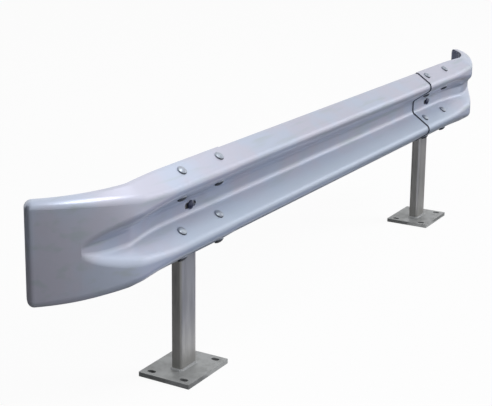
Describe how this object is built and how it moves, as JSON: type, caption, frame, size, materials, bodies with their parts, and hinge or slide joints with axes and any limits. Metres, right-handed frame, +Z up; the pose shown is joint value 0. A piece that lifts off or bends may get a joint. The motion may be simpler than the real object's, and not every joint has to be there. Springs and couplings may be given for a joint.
{
  "type": "highway guardrail section",
  "caption": "W-beam crash barrier bay on base-plated posts, with a swept-back end wing lapped and bolted over each end of the beam.",
  "frame": {"origin": "middle of the whole section's footprint, on the floor", "axes": "+X along the rail to the right-hand end as seen from the traffic, +Y away from the traffic, +Z up"},
  "size_m": [3.3232, 0.208, 0.7282],
  "materials": {
    "rail_zinc": "hot-dip galvanised sheet, smooth and lightly mottled",
    "post_zinc": "hot-dip galvanised tube, dull grey",
    "plate_zinc": "hot-dip galvanised plate, matt",
    "weld_zinc": "galvanised fillet weld bead, rippled",
    "bolt_zinc": "spun galvanised dome-headed bolts",
    "nut_zinc": "spun galvanised nuts and washers"
  },
  "bodies": {
    "root": {"main_beam": "rail_zinc", "left_end_wing": "rail_zinc", "right_end_wing": "rail_zinc", "left_post": "post_zinc", "left_post_cap": "post_zinc", "left_base_plate": "plate_zinc", "left_foot_weld": "weld_zinc", "left_splice_bolts": "bolt_zinc", "left_splice_nuts": "nut_zinc", "left_post_bolt": "bolt_zinc", "left_post_washer": "nut_zinc", "left_post_nut": "nut_zinc", "right_post": "post_zinc", "right_post_cap": "post_zinc", "right_base_plate": "plate_zinc", "right_foot_weld": "weld_zinc", "right_splice_bolts": "bolt_zinc", "right_splice_nuts": "nut_zinc", "right_post_bolt": "bolt_zinc", "right_post_washer": "nut_zinc", "right_post_nut": "nut_zinc"}
  },
  "joints": []
}
